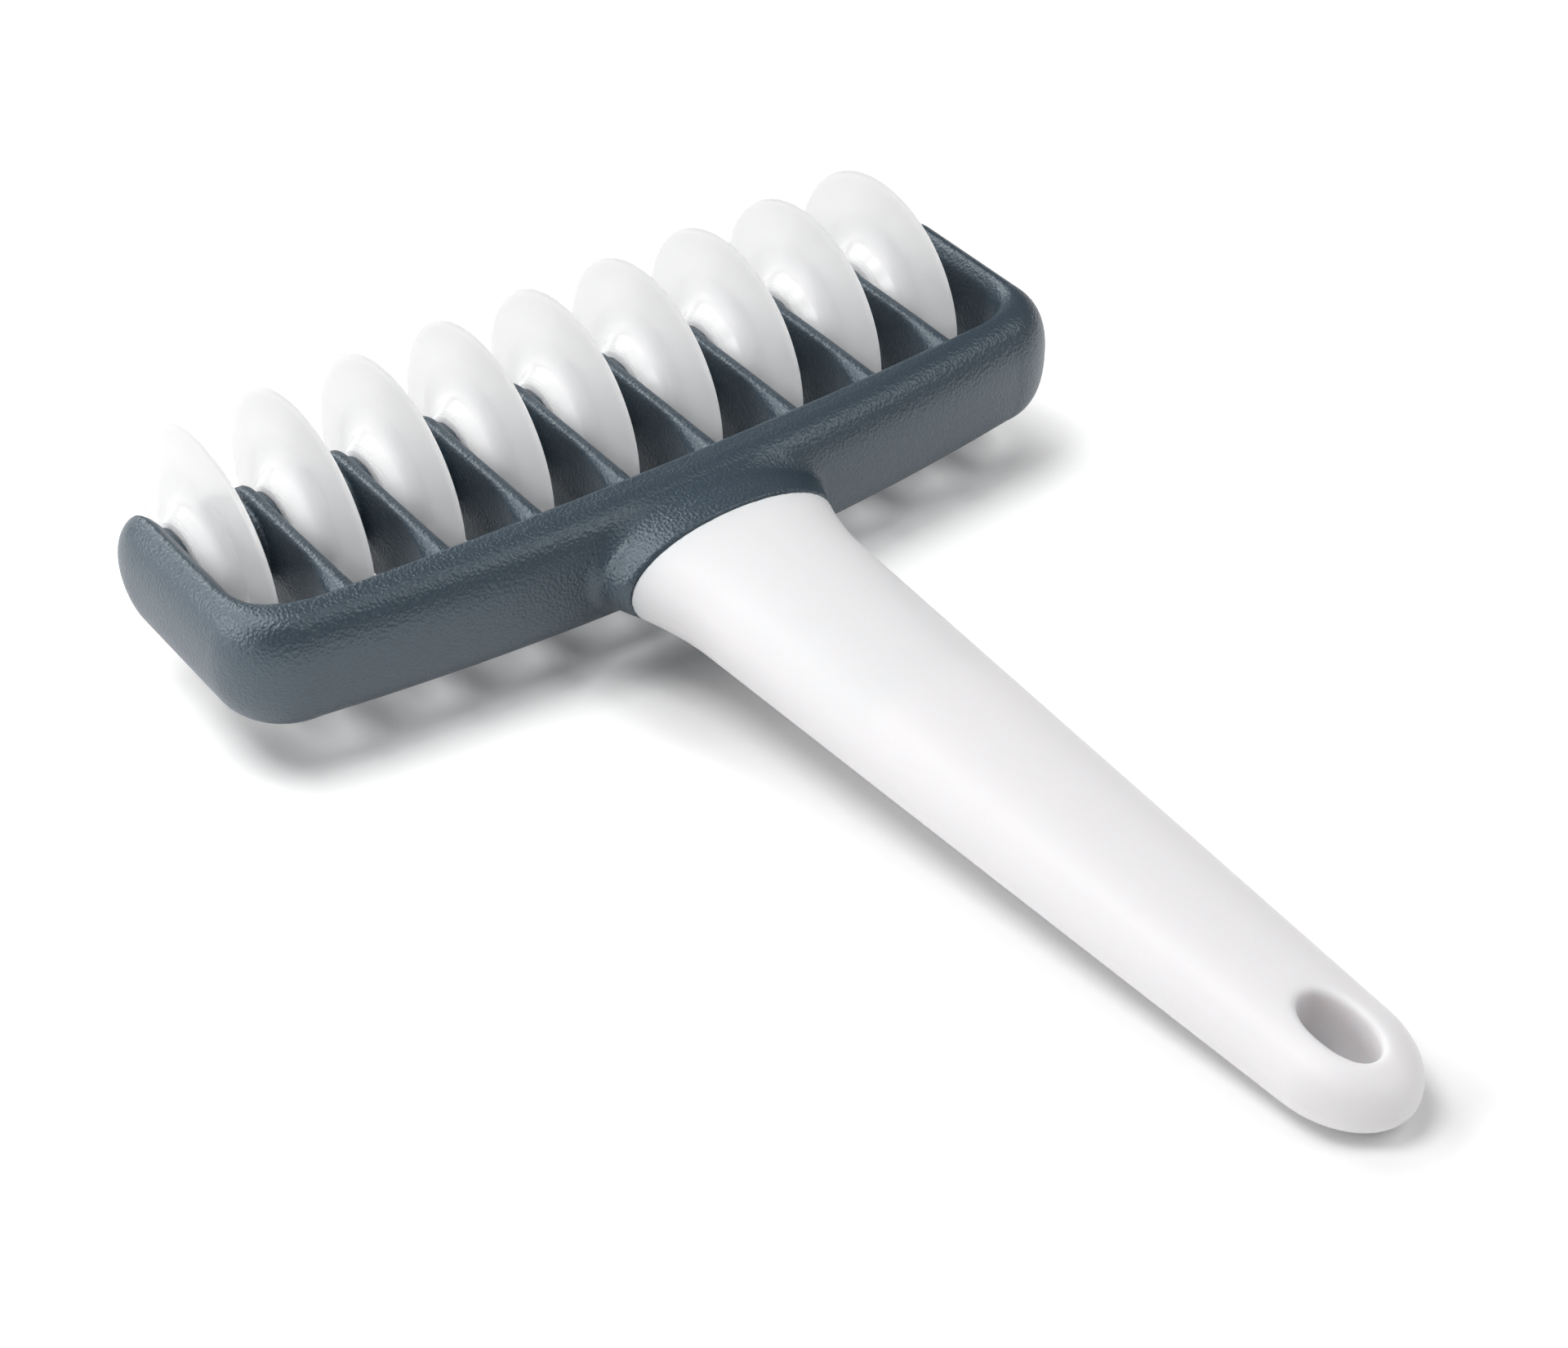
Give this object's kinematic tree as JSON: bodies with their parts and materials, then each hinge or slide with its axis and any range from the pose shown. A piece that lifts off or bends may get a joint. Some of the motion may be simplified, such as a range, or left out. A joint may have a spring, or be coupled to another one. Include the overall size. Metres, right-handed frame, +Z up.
{
  "type": "pastry roller cutter",
  "caption": "Hand roller for cutting pastry into strips: a row of sharp-rimmed discs turning freely on one axle in a comb-shaped frame, with a tapered handle.",
  "frame": {"origin": "on the table under the middle of the tool's bounding box, as the tool lies on its discs and the end of its handle", "axes": "+X along the axle, +Y towards the discs and away from the handle, +Z up from the table"},
  "size_m": [0.1344, 0.1822, 0.0374],
  "materials": {
    "slate_plastic": "fine satin",
    "white_plastic": "satin gloss",
    "disc_plastic": "satin",
    "steel": "drawn wire"
  },
  "bodies": {
    "frame": {"comb_frame": "slate_plastic", "handle": "white_plastic", "axle_rod": "steel", "axle_plug": "slate_plastic"},
    "disc_1": {"cutting_disc_1": "disc_plastic"},
    "disc_2": {"cutting_disc_2": "disc_plastic"},
    "disc_3": {"cutting_disc_3": "disc_plastic"},
    "disc_4": {"cutting_disc_4": "disc_plastic"},
    "disc_5": {"cutting_disc_5": "disc_plastic"},
    "disc_6": {"cutting_disc_6": "disc_plastic"},
    "disc_7": {"cutting_disc_7": "disc_plastic"},
    "disc_8": {"cutting_disc_8": "disc_plastic"},
    "disc_9": {"cutting_disc_9": "disc_plastic"}
  },
  "joints": [
    {"name": "disc_1_spin", "type": "hinge", "parent": "frame", "child": "disc_1", "pos_m": [-0.056, 0.0724, 0.0187], "axis": [1, 0, 0], "continuous": true},
    {"name": "disc_2_spin", "type": "hinge", "parent": "frame", "child": "disc_2", "pos_m": [-0.042, 0.0724, 0.0187], "axis": [1, 0, 0], "continuous": true},
    {"name": "disc_3_spin", "type": "hinge", "parent": "frame", "child": "disc_3", "pos_m": [-0.028, 0.0724, 0.0187], "axis": [1, 0, 0], "continuous": true},
    {"name": "disc_4_spin", "type": "hinge", "parent": "frame", "child": "disc_4", "pos_m": [-0.014, 0.0724, 0.0187], "axis": [1, 0, 0], "continuous": true},
    {"name": "disc_5_spin", "type": "hinge", "parent": "frame", "child": "disc_5", "pos_m": [0, 0.0724, 0.0187], "axis": [1, 0, 0], "continuous": true},
    {"name": "disc_6_spin", "type": "hinge", "parent": "frame", "child": "disc_6", "pos_m": [0.014, 0.0724, 0.0187], "axis": [1, 0, 0], "continuous": true},
    {"name": "disc_7_spin", "type": "hinge", "parent": "frame", "child": "disc_7", "pos_m": [0.028, 0.0724, 0.0187], "axis": [1, 0, 0], "continuous": true},
    {"name": "disc_8_spin", "type": "hinge", "parent": "frame", "child": "disc_8", "pos_m": [0.042, 0.0724, 0.0187], "axis": [1, 0, 0], "continuous": true},
    {"name": "disc_9_spin", "type": "hinge", "parent": "frame", "child": "disc_9", "pos_m": [0.056, 0.0724, 0.0187], "axis": [1, 0, 0], "continuous": true}
  ]
}
